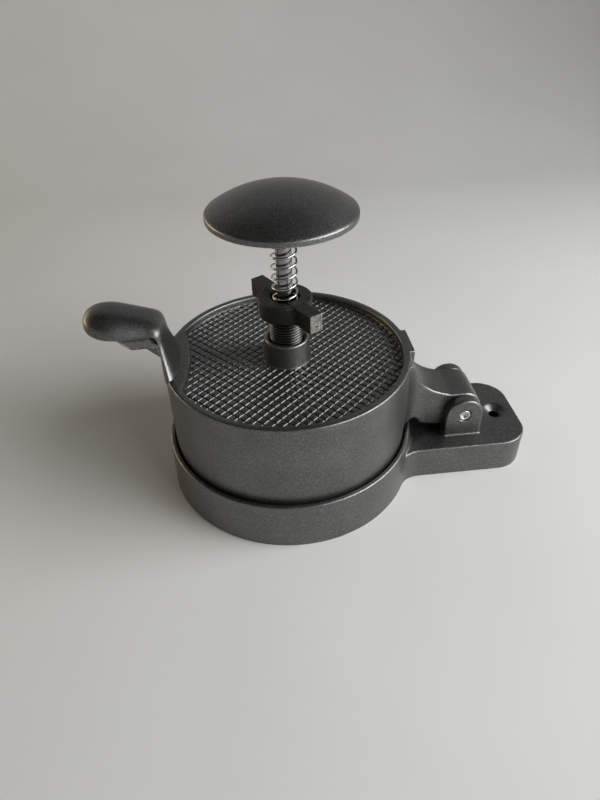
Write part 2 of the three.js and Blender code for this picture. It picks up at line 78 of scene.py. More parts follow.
BASE_LOW, BASE_HIGH = node_box("base_casting")
LID_HIGH = node_box("lid_casting")[1]
COLLAR_LOW, COLLAR_HIGH = node_box("winged_collar")
SLEEVE_LOW, SLEEVE_HIGH = node_box("threaded_sleeve")
SPRING_LOW, SPRING_HIGH = node_box("return_spring")
ROD_LOW, ROD_HIGH = node_box("plunger_rod")
KNOB_LOW, KNOB_HIGH = node_box("palm_knob")
PLATE_LOW, PLATE_HIGH = node_box("press_plate")
WASHER_LOW, WASHER_HIGH = node_box("plate_washer")
SCREW_LOW, SCREW_HIGH = node_box("plate_screw")
RIVET_LOW, RIVET_HIGH = node_box("hinge_rivet")
HINGE = next(j for j in frame["joints"] if j["name"] == "lid_hinge")
HINGE_X, _, HINGE_Z = (c / MM for c in HINGE["pos_m"])

MOULD_OUTER = LID_HIGH[1]
MOULD_WALL = 3.45
MOULD_INNER = MOULD_OUTER - MOULD_WALL
MOULD_BOTTOM = 16.7
MOULD_TOP = 71.0
DECK_TOP = 67.5
DECK_UNDER = 64.3
WAFFLE_SKIN = 1.3  # the waffle faces are laid on surfaces this much lower
WAFFLE_BURIED = 0.5  # and reach this far into them

BASE_FOOT = -BASE_LOW[0]
BASE_DRAFT = 0.7
BASE_TOP = BASE_FOOT - BASE_DRAFT
BASE_HEIGHT = 26.4
DISH_WALL = 2.3
DISH_RADIUS = BASE_TOP - DISH_WALL
DISH_FLOOR = 16.4
SKIN = 4.0
TAIL_END = BASE_HIGH[0]
TAIL_START = 40.0
TAIL_HALF = 26.7
TAIL_TOP = 19.0
TAIL_CORNER = 15.0
TAIL_FILLET = 13.0
RIB_HALF = 1.5
RIB_INSET = 2.0  # from the floor and from the walls that the ribs run into
PILLAR_RADIUS = 12.0
SCREW_BOSS_RADIUS = 8.0
SCREW_HOLE_X = 115.4
SCREW_HOLE_RADIUS = 2.75
SINK_RADIUS = 6.5
SINK_DEPTH = 2.6

PIN_RADIUS = 3.0
PIN_PLAY = 0.3
EAR_RADIUS = 9.8
EAR_INNER = 11.8
EAR_OUTER = 17.4
ARM_HALF = 11.5
BARREL_RADIUS = 10.4

BOSS_TOP = 79.5
BOSS_FOOT_RADIUS = 11.85
BOSS_TOP_RADIUS = 10.9
THREAD_RADIUS = SLEEVE_HIGH[0]
THREAD_PITCH = 1.5
THREAD_DEPTH = 0.75
BORE_RADIUS = THREAD_RADIUS + 0.3


class PressSizes(bpy.types.PropertyGroup):
    """Sizes that a user would change."""

    groove_pitch: FloatProperty(
        name="Groove pitch", description="Distance between waffle grooves",
        default=3.81 * MM, unit="LENGTH")
    groove_width: FloatProperty(
        name="Groove width", description="Width of a waffle groove at its top",
        default=0.85 * MM, unit="LENGTH")
    groove_depth: FloatProperty(
        name="Groove depth", description="Depth of the waffle grooves",
        default=0.6 * MM, unit="LENGTH")
    groove_turn: FloatProperty(
        name="Groove turn", description="Direction of one family of grooves from the hinge side",
        default=math.radians(43.2), subtype="ANGLE")
    cast_cell: FloatProperty(
        name="Casting cell", description="Grid size of the castings' surfaces",
        default=0.65 * MM, unit="LENGTH")
    small_cell: FloatProperty(
        name="Small cell", description="Grid size of the small pieces' surfaces",
        default=0.35 * MM, unit="LENGTH")
    spring_coils: FloatProperty(
        name="Spring coils", description="Open turns of the return spring", default=7.0)


class PressColours(bpy.types.PropertyGroup):
    """Colours that a user would change, as linear values."""

    coating: FloatVectorProperty(
        name="Coating", description="Non-stick coating on the castings",
        subtype="COLOR", size=3, min=0, max=1)
    # pale edge colour: partly bare worn aluminium, partly a painted highlight
    worn_metal_and_sheen: FloatVectorProperty(
        name="Worn metal", description="Bare aluminium on rubbed edges",
        subtype="COLOR", size=3, min=0, max=1)
    collar: FloatVectorProperty(
        name="Collar", description="Black cast collar", subtype="COLOR", size=3, min=0, max=1)
    floor: FloatVectorProperty(
        name="Floor", description="Pale floor", subtype="COLOR", size=3, min=0, max=1)


def linear(hex_colour):
    """An sRGB hex colour as linear RGB."""
    parts = [int(hex_colour[i:i + 2], 16) / 255 for i in (1, 3, 5)]
    return [c / 12.92 if c <= 0.04045 else ((c + 0.055) / 1.055) ** 2.4 for c in parts]


def sizes():
    return bpy.context.scene.press_sizes


def colours():
    return bpy.context.scene.press_colours


# ---------- distance shapes: negative inside, in millimetres ----------


def meet(a, b, r=1e-6):
    """Both shapes at once, with the edge between them rounded to radius r."""
    u, v = np.maximum(r + a, 0), np.maximum(r + b, 0)
    return np.minimum(-r, np.maximum(a, b)) + np.hypot(u, v)


def join(a, b, r=1e-6):
    """Either shape, with a fillet of radius r where they meet."""
    return -meet(-a, -b, r)


def cut(a, b, r=1e-6):
    """The first shape without the second, with the edge rounded to radius r."""
    return meet(a, -b, r)


def slab(values, low, high):
    return np.maximum(low - values, values - high)


def rounded_plan(x, y, half_x, half_y, corner):
    """Distance to a rectangle with round corners, centred on the origin."""
    qx, qy = np.abs(x) - half_x + corner, np.abs(y) - half_y + corner
    outside = np.hypot(np.maximum(qx, 0), np.maximum(qy, 0))
    return outside + np.minimum(np.maximum(qx, qy), 0) - corner


def with_fillets(x, y, radius, strip, half, fillet):
    """Distance in plan to a disc and a strip of half width half along +X, with tangent fillets
    where the strip leaves the disc."""
    reach = half + fillet
    centre = np.sqrt((radius + fillet) ** 2 - reach ** 2)
    between = (x < centre) & (x * reach > np.abs(y) * centre)
    bend = np.where(between, fillet - np.hypot(x - centre, np.abs(y) - reach), np.inf)
    return np.minimum(np.minimum(np.hypot(x, y) - radius, strip), bend)


def polygon(x, y, corners):
    """Distance to a closed outline given by its corners."""
    best = np.full(x.shape, np.inf)
    inside = np.zeros(x.shape, bool)
    for (ax, ay), (bx, by) in zip(corners, corners[1:] + corners[:1]):
        ex, ey = bx - ax, by - ay
        length = ex * ex + ey * ey
        if length < 1e-12:
            continue
        t = np.clip(((x - ax) * ex + (y - ay) * ey) / length, 0, 1)
        best = np.minimum(best, np.hypot(x - ax - t * ex, y - ay - t * ey))
        crosses = (ay > y) != (by > y)
        if by != ay:
            inside ^= crosses & (x < ax + (y - ay) * ex / ey)
    return np.where(inside, -best, best)


def curve(start, control, end, steps=12):
    """Points after the start of a quadratic curve."""
    points = []
    for i in range(1, steps + 1):
        t = i / steps
        points.append(tuple((1 - t) ** 2 * s + 2 * t * (1 - t) * c + t * t * e
                            for s, c, e in zip(start, control, end)))
    return points


def arc(cx, cy, radius, start, end, steps):
    """Points of an arc, with its angles in degrees."""
    angles = np.radians(np.linspace(start, end, steps + 1))
    return [(cx + radius * math.cos(a), cy + radius * math.sin(a)) for a in angles]


def base_distance(p):
    """Dish, tail, ears and the hollow below them."""
    x, y, z = p.T
    r = np.hypot(x, y)
    radius = BASE_FOOT - BASE_DRAFT * np.clip(z / BASE_HEIGHT, 0, 1)
    wall = r - radius
    tail_half = (TAIL_END - TAIL_START) / 2
    tail = rounded_plan(x - TAIL_START - tail_half, y, tail_half, TAIL_HALF, TAIL_CORNER)
    plan = with_fillets(x, y, radius, tail, TAIL_HALF, TAIL_FILLET)
    dish, low_deck = meet(wall, z - BASE_HEIGHT, 0.9), meet(plan, z - TAIL_TOP, 0.9)
    narrow_deck = meet(plan + 2.5, z - TAIL_TOP, 0.9)  # keeps the fillet on the tail's top
    body = np.minimum(np.minimum(dish, low_deck), join(dish, narrow_deck, 1.6))
    upright = np.where(z > HINGE_Z, np.hypot(x - HINGE_X, z - HINGE_Z), np.abs(x - HINGE_X))
    ears = meet(upright - EAR_RADIUS, slab(np.abs(y), EAR_INNER, EAR_OUTER), 0.75)
    body = join(body, np.maximum(ears, TAIL_TOP - 3 - z), 1.1)
    dish_room = meet(r - DISH_RADIUS, DISH_FLOOR - WAFFLE_SKIN - z, 1.2)
    body = cut(body, dish_room, 0.75)
    inner = plan + SKIN
    under_dish = meet(inner, z - (DISH_FLOOR - SKIN), 1.5)
    under_tail = meet(meet(inner, z - (TAIL_TOP - SKIN), 1.5), DISH_RADIUS + SKIN - r, 1.0)
    body = cut(body, join(under_dish, under_tail), 0.8)
    ribs = np.full(x.shape, np.inf)
    rib_top = DISH_FLOOR - 2.5
    for angle in np.radians((0, 60, 120)):
        along, across = x * np.cos(angle) + y * np.sin(angle), y * np.cos(angle) - x * np.sin(angle)
        rib = np.maximum(np.abs(across) - RIB_HALF, np.abs(along) - BASE_TOP + RIB_INSET)
        ribs = np.minimum(ribs, rib)
    ribs = np.maximum(ribs, slab(z, RIB_INSET, rib_top))
    tail_rib = np.maximum(np.abs(y) - RIB_HALF, slab(x, BASE_TOP - 2, TAIL_END - RIB_INSET))
    ribs = np.minimum(ribs, np.maximum(tail_rib, slab(z, RIB_INSET, TAIL_TOP - 2)))
    body = join(body, ribs, 1.0)
    pillar = meet(r - PILLAR_RADIUS, slab(z, 0, rib_top), 0.5)
    hole = np.hypot(x - SCREW_HOLE_X, y)
    boss = meet(hole - SCREW_BOSS_RADIUS, slab(z, 0, TAIL_TOP - 2), 0.5)
    body = meet(join(join(body, pillar, 1.2), boss, 1.2), -z, 0.7)
    slope = (SINK_RADIUS - SCREW_HOLE_RADIUS) / SINK_DEPTH
    sink = (hole - SINK_RADIUS - (z - TAIL_TOP) * slope) / math.hypot(1, slope)
    sink = np.maximum(sink, hole - SINK_RADIUS - 1)
    body = cut(body, np.minimum(hole - SCREW_HOLE_RADIUS, sink), 0.6)
    pin = np.hypot(x - HINGE_X, z - HINGE_Z) - PIN_RADIUS - PIN_PLAY
    return cut(body, pin, 0.35)


ARM_ROOT = MOULD_INNER - 5
ARM_SHOULDER = (MOULD_OUTER + 1.7, 62.0)
ARM_SADDLE = (HINGE_X - 7, HINGE_Z + BARREL_RADIUS)
ARM_HEEL = (HINGE_X - 17, TAIL_TOP + 4.5)
ARM_STEP = (MOULD_OUTER + 6.6, BASE_HEIGHT + 0.8)
ARM_SIDE = [
    (ARM_ROOT, DECK_TOP - 2), (MOULD_OUTER - 1, DECK_TOP - 0.5), ARM_SHOULDER,
    *curve(ARM_SHOULDER, (MOULD_OUTER + 5, 46.5), ARM_SADDLE),
    *arc(HINGE_X, HINGE_Z, BARREL_RADIUS, 90, -90, 24),
    ARM_HEEL,
    *curve(ARM_HEEL, (HINGE_X - 22, ARM_HEEL[1]), ARM_STEP, 6),
    *curve(ARM_STEP, (MOULD_OUTER + 5, BASE_HEIGHT + 3.6), (MOULD_OUTER + 3, BASE_HEIGHT + 3.6), 6),
    (ARM_ROOT, BASE_HEIGHT + 3.8),
]
ARM_FILLET = 16.0
PAD_RADIUS = 100.0
PAD_REACH = 9.2
SHOULDER_HALF = 10.0
SHOULDER_BOTTOM = 58.0
BORE_MOUTH = 1.1  # wider than the bore by this much
BORE_MOUTH_DEPTH = 1.4


def lid_distance(p):
    """Mould ring, deck, boss, pad and hinge arm."""
    x, y, z = p.T
    r = np.hypot(x, y)
    drum = meet(meet(r - MOULD_OUTER, z - MOULD_TOP, 0.9), MOULD_BOTTOM - z, 0.6)
    near = x > MOULD_INNER - 12
    far_away = 50.0
    arm = np.full(x.shape, far_away)
    side = polygon(x[near], z[near], ARM_SIDE)
    strip = np.maximum(np.abs(y[near]) - ARM_HALF, -x[near])
    arm_plan = with_fillets(x[near], y[near], MOULD_OUTER, strip, ARM_HALF, ARM_FILLET)
    arm[near] = meet(side, arm_plan, 0.9)
    shoulder = meet(slab(x, ARM_ROOT, ARM_SHOULDER[0]), np.abs(y) - SHOULDER_HALF, 0.6)
    shoulder = meet(shoulder, slab(z, SHOULDER_BOTTOM, MOULD_TOP), 0.6)
    body = join(join(drum, arm, 0.3), shoulder, 0.5)
    recess = np.maximum(r - MOULD_INNER, DECK_TOP - WAFFLE_SKIN - z)
    body = cut(body, recess, 0.8)
    crescent = np.hypot(x + MOULD_INNER - PAD_REACH + PAD_RADIUS, y) - PAD_RADIUS
    pad = meet(np.maximum(crescent, x), slab(z, DECK_UNDER, MOULD_TOP), 0.8)
    body = join(body, np.maximum(pad, r - MOULD_INNER - 1), 0.5)
    slope = (BOSS_FOOT_RADIUS - BOSS_TOP_RADIUS) / (BOSS_TOP - DECK_TOP)
    boss = meet(r - BOSS_FOOT_RADIUS + (z - DECK_TOP) * slope, slab(z, 66, BOSS_TOP), 0.55)
    body = join(body, boss, 2.1)
    mould_room = meet(r - MOULD_INNER, z - DECK_UNDER, 1.0)
    body = cut(body, mould_room, 0.5)
    mouth = np.maximum(r - BORE_RADIUS - BORE_MOUTH, BOSS_TOP - BORE_MOUTH_DEPTH - z)
    body = cut(body, np.minimum(r - BORE_RADIUS, mouth), 0.2)
    pin = np.hypot(x - HINGE_X, z - HINGE_Z) - PIN_RADIUS - PIN_PLAY
    return cut(body, pin, 0.35)


WING_TURN = math.radians(-59.5)
COLLAR_RADIUS = 12.65
COLLAR_BORE = 7.0
COLLAR_BOTTOM = COLLAR_LOW[2]
COLLAR_TOP = COLLAR_HIGH[2] - 0.3
WING_REACH = 23.65
WING_HALF = 3.5


def collar_distance(p):
    """Round collar with two square wings and a bore."""
    x, y, z = p.T
    along = x * math.cos(WING_TURN) + y * math.sin(WING_TURN)
    across = y * math.cos(WING_TURN) - x * math.sin(WING_TURN)
    r = np.hypot(x, y)
    disc = meet(r - COLLAR_RADIUS, slab(z, COLLAR_BOTTOM, COLLAR_TOP), 0.7)
    wings = meet(np.abs(along) - WING_REACH, np.abs(across) - WING_HALF, 0.45)
    wings = meet(wings, slab(z, COLLAR_BOTTOM + 0.3, COLLAR_TOP + 0.3), 0.45)
    return cut(join(disc, wings, 0.9), r - COLLAR_BORE, 0.5)


def screw_distance(p):
    """Slotted head and plain shank of the plate screw."""
    x, y, z = p.T
    r = np.hypot(x, y)
    head_top = SCREW_LOW[2] + 2.0
    head = meet(r - SCREW_HIGH[0], slab(z, SCREW_LOW[2], head_top), 0.5)
    shank = np.maximum(r - 2.3, slab(z, head_top - 0.5, SCREW_HIGH[2]))
    slot = np.maximum(np.abs(y) - 0.6, z - SCREW_LOW[2] - 1.0)
    return cut(join(head, shank), slot, 0.12)


# ---------- meshes ----------


def new_piece(name, points, faces, body, finish, nodes=(), wear_and_sheen_amount=1.0):
    """A smooth-shaded piece from points in millimetres that rides on a body. finish is a key of
    FINISHES, and the last argument, 0 to 1, is how strongly its edges take the pale edge colour,
    which is partly wear and partly a painted highlight."""
    mesh = bpy.data.meshes.new(name)
    mesh.from_pydata((np.asarray(points, float) * MM).tolist(), [], [list(f) for f in faces])
    mesh.validate()
    mesh.update()
    piece = bpy.data.objects.new(name, mesh)
    bpy.context.scene.collection.objects.link(piece)
    mesh.polygons.foreach_set("use_smooth", [True] * len(mesh.polygons))
    turn_out(mesh)
    mark_edges(mesh, wear_and_sheen_amount)
    mesh.materials.append(shared_material(finish))
    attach(piece, body)
    if nodes:
        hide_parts(*nodes)
    return piece


def turn_out(mesh):
    """Makes all faces of a closed mesh point outward."""
    edit = bmesh.new()
    edit.from_mesh(mesh)
    bmesh.ops.recalc_face_normals(edit, faces=edit.faces)
    edit.to_mesh(mesh)
    edit.free()


def mark_edges(mesh, wear_and_sheen_amount):
    """Writes how sharply each point stands out, 0 to 1, as the point attribute for the pale edge
    colour, which is partly wear and partly a painted highlight.
    """
    count = len(mesh.vertices)
    points = np.empty(count * 3)
    normals = np.empty(count * 3)
    mesh.vertices.foreach_get("co", points)
    mesh.vertices.foreach_get("normal", normals)
    points, normals = points.reshape(-1, 3) / MM, normals.reshape(-1, 3)
    edges = np.empty(len(mesh.edges) * 2, int)
    mesh.edges.foreach_get("vertices", edges)
    a, b = edges.reshape(-1, 2).T
    step = points[a] - points[b]
    square = np.maximum((step ** 2).sum(1), 1e-8)
    total, seen = np.zeros(count), np.zeros(count)
    for here, sign in ((a, 1), (b, -1)):
        np.add.at(total, here, sign * 2 * (normals[here] * step).sum(1) / square)
        np.add.at(seen, here, 1)
    bend = total / np.maximum(seen, 1)
    spread, near = bend.copy(), np.ones(count)
    for here, there in ((a, b), (b, a)):
        np.add.at(spread, here, bend[there])
        np.add.at(near, here, 1)
    # convex edges get the pale edge colour: partly bare worn metal, partly a painted highlight
    wear_and_sheen = np.clip((spread / near - 0.25) / 0.6, 0, 1) * wear_and_sheen_amount
    store(mesh, "edge_wear_and_sheen", wear_and_sheen)


def store(mesh, name, values):
    """Gives a mesh one number per point, which its material can read."""
    mesh.attributes.new(name, "FLOAT", "POINT").data.foreach_set("value", values)


def cast_piece(name, node, distance, cell, body, finish):
    """Regrids a CAD node and draws the grid onto a distance shape, which rounds its edges."""
    rough = bpy.data.objects.new(name + "_rough", frame["nodes"][node].data.copy())
    bpy.context.scene.collection.objects.link(rough)
    grid = rough.modifiers.new("grid", "REMESH")
    grid.mode = "VOXEL"
    grid.voxel_size = cell
    graph = bpy.context.evaluated_depsgraph_get()
    gridded = rough.evaluated_get(graph).to_mesh()
    points = np.empty(len(gridded.vertices) * 3)
    gridded.vertices.foreach_get("co", points)
    points = points.reshape(-1, 3) / MM
    faces = [tuple(face.vertices) for face in gridded.polygons]
    bpy.data.objects.remove(rough)
    if not faces:
        raise RuntimeError(f"{name}: the grid came out empty")
    h = 0.02
    for _ in range(7):
        value = distance(points)
        slope = np.stack([
            distance(points + offset) - distance(points - offset) for offset in np.eye(3) * h
        ], axis=1) / (2 * h)
        steep = np.maximum((slope ** 2).sum(1), 0.3)
        move = slope * (value / steep)[:, None]
        reach = np.linalg.norm(move, axis=1)
        move *= np.minimum(1, 0.8 / np.maximum(reach, 1e-9))[:, None]
        points = points - move
    return new_piece(name, points, faces, body, finish, [node])


def turned(profile, segments):
    """Points and quads of a profile of (radius, height) turned about Z; it closes on itself
    or starts and ends on the axis."""
    points, faces, rows = [], [], []
    for r, z in profile:
        if r < 1e-6:
            rows.append([len(points)] * segments)
            points.append((0, 0, z))
            continue
        rows.append(list(range(len(points), len(points) + segments)))
        points += [(r * math.cos(2 * math.pi * i / segments),
                    r * math.sin(2 * math.pi * i / segments), z) for i in range(segments)]
    closed = profile[0][0] > 1e-6
    pairs = list(zip(rows, rows[1:] + rows[:1])) if closed else list(zip(rows, rows[1:]))
    for low, high in pairs:
        for i in range(segments):
            k = (i + 1) % segments
            face = []
            for corner in (low[i], low[k], high[k], high[i]):
                if corner not in face:
                    face.append(corner)
            if len(face) > 2:
                faces.append(face)
    return points, faces


def softened(profile, radius, steps=4):
    """Rounds each corner of an open (radius, height) profile."""
    result = [profile[0]]
    for before, here, after in zip(profile, profile[1:], profile[2:]):
        before, corner, after = (np.array(q, float) for q in (before, here, after))
        back, ahead = before - corner, after - corner
        room = min(np.linalg.norm(back), np.linalg.norm(ahead)) * 0.48
        reach = min(radius, room)
        start = corner + back / np.linalg.norm(back) * reach
        end = corner + ahead / np.linalg.norm(ahead) * reach
        result += [tuple(start)] + curve(start, corner, end, steps)
    return result + [profile[-1]]


def finely(profile, longest):
    """Adds points so that no stretch of a profile is longer than the given length."""
    result = [profile[0]]
    for here, there in zip(profile, profile[1:]):
        count = max(1, math.ceil(math.dist(here, there) / longest))
        result += [tuple(h + (t - h) * i / count for h, t in zip(here, there))
                   for i in range(1, count + 1)]
    return result


def lofted(rings):
    """Points and faces of a skin over equal rings, with a fan at each end."""
    count = len(rings[0])
    points = [point for ring in rings for point in ring]
    faces = []
    for n in range(len(rings) - 1):
        for i in range(count):
            k = (i + 1) % count
            faces.append((n * count + i, n * count + k, (n + 1) * count + k, (n + 1) * count + i))
    for ring, flip in ((0, True), (len(rings) - 1, False)):
        middle = len(points)
        points.append(tuple(np.mean(np.array(rings[ring]), axis=0)))
        for i in range(count):
            a, b = ring * count + i, ring * count + (i + 1) % count
            faces.append((middle, b, a) if flip else (middle, a, b))
    return points, faces


def waffle_lines(limit):
    """Grid lines across one family of grooves: flat pads, sloped groove sides, flat bottoms."""
    pitch, width = sizes().groove_pitch / MM, sizes().groove_width / MM
    steps = (-0.5, -0.36, -0.16, 0.16, 0.36, 0.5)
    pad = ((pitch - width) / 3, 2 * (pitch - width) / 3)
    lines = []
    count = math.ceil(limit / pitch) + 1
    for n in range(-count, count + 1):
        lines += [n * pitch + s * width for s in steps]
        lines += [n * pitch + width / 2 + s for s in pad]
    return np.array([line for line in lines if abs(line) < limit + 2.5])


def groove_depth_at(line):
    """Depth of the groove profile at distances from the groove's middle."""
    pitch, width = sizes().groove_pitch / MM, sizes().groove_width / MM
    offset = np.abs((line + pitch / 2) % pitch - pitch / 2) / width
    return np.interp(offset, (0, 0.16, 0.36, 0.5), (1, 0.97, 0.2, 0)) * sizes().groove_depth / MM


def waffle_skin(name, radius, top, up, body, hole=0.0):
    """A round slab with two crossed families of grooves in one face; its ragged rim and its
    back are buried in the casting. up is 1 where the grooved face looks up, or -1."""
    depth = WAFFLE_SKIN + WAFFLE_BURIED
    lines = waffle_lines(radius)
    u, v = np.meshgrid(lines, lines, indexing="ij")
    dip = np.maximum(groove_depth_at(u), groove_depth_at(v))
    turn = sizes().groove_turn
    x, y = u * math.cos(turn) - v * math.sin(turn), u * math.sin(turn) + v * math.cos(turn)
    count = len(lines)
    face = np.stack([x, y, top - up * dip], axis=-1).reshape(-1, 3)
    back = np.stack([x, y, np.full(x.shape, top - up * depth)], axis=-1).reshape(-1, 3)
    middle_x = (x[:-1, :-1] + x[1:, 1:]) / 2
    middle_y = (y[:-1, :-1] + y[1:, 1:]) / 2
    reach = np.hypot(middle_x, middle_y)
    kept = (reach < radius) & (reach > hole)
    i, j = np.nonzero(kept)
    a, b, c, d = i * count + j, (i + 1) * count + j, (i + 1) * count + j + 1, i * count + j + 1
    front = np.stack([a, b, c, d], axis=1)
    behind = np.stack([a, d, c, b], axis=1) + len(face)
    sides = []
    padded = np.pad(kept, 1)
    rows, columns = kept.shape
    for di, dj in ((-1, 0), (1, 0), (0, -1), (0, 1)):
        edge = kept & ~padded[1 + di:1 + di + rows, 1 + dj:1 + dj + columns]
        i, j = np.nonzero(edge)
        p = (i + (di > 0)) * count + j + (dj > 0)
        q = p + (1 if di else count)
        if di > 0 or dj < 0:
            p, q = q, p
        sides.append(np.stack([p, q, q + len(face), p + len(face)], axis=1))
    faces = np.concatenate([front, behind] + sides)
    points = np.concatenate([face, back])
    used = np.unique(faces)
    renumber = np.zeros(len(points), int)
    renumber[used] = np.arange(len(used))
    piece = new_piece(name, points[used], renumber[faces].tolist(), body, "coated", wear_and_sheen_amount=0)
    # groove depth, which the coating turns into painted shade
    store(piece.data, "hollow", np.concatenate([dip.ravel(), dip.ravel()])[used] / dip.max())


# ---------- materials ----------


def add(tree, kind, links=None, **settings):
    """Adds a node, sets its properties or sockets, and links its inputs."""
    node = tree.nodes.new(kind)
    for name, value in settings.items():
        if hasattr(node, name):
            setattr(node, name, value)
        else:
            node.inputs[name.replace("_", " ")].default_value = value
    for socket, source in (links or {}).items():
        tree.links.new(source, node.inputs[socket])
    return node


def surface(name):
    """A new material with its tree cleared and coordinates in millimetres."""
    material = bpy.data.materials.new(name)
    material.use_nodes = True
    tree = material.node_tree
    tree.nodes.clear()
    where = add(tree, "ShaderNodeTexCoord").outputs["Object"]
    scaled = add(tree, "ShaderNodeVectorMath", {0: where}, operation="SCALE", Scale=1 / MM)
    return material, tree, scaled.outputs[0]


def ramp(tree, source, stops):
    """A colour ramp with (position, linear colour or grey) stops."""
    node = add(tree, "ShaderNodeValToRGB", {"Fac": source})
    elements = node.color_ramp.elements
    while len(elements) < len(stops):
        elements.new(0.5)
    for element, (position, colour) in zip(elements, stops):
        element.position = position
        grey = isinstance(colour, (int, float))
        element.color = (colour,) * 3 + (1,) if grey else tuple(colour) + (1,)
    return node.outputs["Color"]


def noise(tree, where, size_mm, detail=2.0, roughness=0.5):
    """Noise whose lumps are about size_mm across."""
    return add(tree, "ShaderNodeTexNoise", {"Vector": where},
               Scale=1 / size_mm, Detail=detail, Roughness=roughness).outputs["Fac"]


def point_value(tree, name):
    """A number that new_piece or store left on the mesh; 0 where there is none."""
    return add(tree, "ShaderNodeAttribute", attribute_name=name).outputs["Fac"]


def blend_colours(tree, factor, first, second):
    """A mix of two colours, each a linear value or another node's output."""
    node = add(tree, "ShaderNodeMix", data_type="RGBA")
    tree.links.new(factor, node.inputs[0])
    for socket, value in ((6, first), (7, second)):
        if isinstance(value, (list, tuple)):
            node.inputs[socket].default_value = tuple(value) + (1,)
        else:
            tree.links.new(value, node.inputs[socket])
    return node.outputs[2]


def bumps(tree, height, strength, distance, links=None):
    """A normal that the height pushes in or out by up to distance, in metres."""
    return add(tree, "ShaderNodeBump", {"Height": height, **(links or {})},
               Strength=strength, Distance=distance).outputs[0]


def principled(tree, links, **settings):
    """Ends a material's tree with a Principled shader."""
    shader = add(tree, "ShaderNodeBsdfPrincipled", links, **settings)
    add(tree, "ShaderNodeOutputMaterial", {"Surface": shader.outputs[0]})


def coated_cast_aluminium():
    """Sand-cast aluminium under a thin non-stick coating, fired on: a dark pewter grey with a fine
    metallic fleck, a soft grain, satin highlights, painted shade in the groove bottoms, and a pale
    edge colour that is partly bare metal on rubbed edges and partly a painted highlight."""
    material, tree, where = surface("non_stick_coated_cast_aluminium")
    fleck = noise(tree, where, 0.4, 2.0, 0.7)  # metal flakes, drawn coarser than the real ones
    cloud = noise(tree, where, 16.0, 3.0)
    base = colours().coating
    dark, light = [c * 0.6 for c in base], [c * 1.8 for c in base]
    flecked = ramp(tree, fleck, ((0.34, dark), (0.5, list(base)), (0.66, light)))
    shade = ramp(tree, cloud, ((0.3, 0.86), (0.7, 1.0)))
    tint = add(tree, "ShaderNodeMix", {6: flecked, 7: shade}, data_type="RGBA",
               blend_type="MULTIPLY", Factor=1.0).outputs[2]
    groove_shade_colour = [c * 0.2 for c in base]  # painted shade in the grooves, darker with depth
    tint = blend_colours(tree, point_value(tree, "hollow"), tint, groove_shade_colour)
    # pale edge colour on convex edges: partly bare worn metal, partly a painted highlight
    patches = ramp(tree, noise(tree, where, 7.0, 3.0, 0.6), ((0.34, 0.35), (0.6, 1.0)))
    wear_and_sheen = add(tree, "ShaderNodeMath", {0: point_value(tree, "edge_wear_and_sheen"), 1: patches},
               operation="MULTIPLY").outputs[0]
    wear_and_sheen = ramp(tree, wear_and_sheen, ((0.3, 0.0), (0.95, 0.8)))
    colour = blend_colours(tree, wear_and_sheen, tint, list(colours().worn_metal_and_sheen))
    satin = ramp(tree, fleck, ((0.3, 0.3), (0.75, 0.44)))
    gloss = blend_colours(tree, wear_and_sheen, satin, (0.34,) * 3)
    fine = bumps(tree, noise(tree, where, 0.5, 3.0, 0.55), 0.22, 0.0002)
    skin = bumps(tree, noise(tree, where, 3.5), 0.1, 0.0006, {"Normal": fine})  # orange peel
    principled(tree, {"Base Color": colour, "Roughness": gloss, "Normal": skin}, Metallic=0.94)
    return material


def black_cast_iron():
    """Cast iron left rough and blacked: coarse dark grains, and pale speckled wing ends that are
    partly sawn metal and partly a painted highlight."""
    material, tree, where = surface("blacked_cast_iron")
    grit = noise(tree, where, 0.8, 4.0, 0.65)
    base = colours().collar
    colour = ramp(tree, grit, ((0.35, [c * 0.6 for c in base]), (0.6, list(base)),
                               (0.78, [c * 3.2 for c in base])))
    # pale speckle on the wing ends: partly sawn metal, partly a painted highlight
    sawn_end_and_sheen = ramp(tree, grit, ((0.38, linear("#3c3b37")), (0.62, linear("#8f8d85"))))
    colour = blend_colours(tree, point_value(tree, "bare_end_and_sheen"), colour, sawn_end_and_sheen)
    pits = bumps(tree, noise(tree, where, 1.5, 4.0, 0.7), 0.9, 0.0006)
    dull = 0.3  # the pits swallow part of the shine
    principled(tree, {"Base Color": colour, "Normal": pits}, Roughness=0.36,
               Specular_IOR_Level=dull)
    return material


def steel(name, tone, roughness, ring_mm, strength, streak=0.0):
    """Steel with fine rings round the Z axis, as turning or drawing leaves them. streak is how
    far the rings draw highlights out along Z."""
    material, tree, where = surface(name)
    squashed = add(tree, "ShaderNodeMapping", {"Vector": where})
    squashed.inputs["Scale"].default_value = (0.08, 0.08, 1.0)
    rings = noise(tree, squashed.outputs[0], ring_mm, 3.0, 0.6)
    smudge = noise(tree, where, 3.0, 3.0)
    base = linear(tone)
    colour = ramp(tree, rings, ((0.3, [c * 0.72 for c in base]), (0.7, base)))
    thread_root_shade = [c * 0.1 for c in base]  # painted shade in the thread roots
    colour = blend_colours(tree, point_value(tree, "hollow"), colour, thread_root_shade)
    rough = ramp(tree, smudge, ((0.35, roughness), (0.7, roughness + 0.12)))
    round_axis = add(tree, "ShaderNodeTangent", direction_type="RADIAL", axis="Z").outputs[0]
    principled(tree, {"Base Color": colour, "Roughness": rough, "Tangent": round_axis,
                      "Normal": bumps(tree, rings, strength, 0.0001)},
               Metallic=1.0, Anisotropic=streak)
    return material


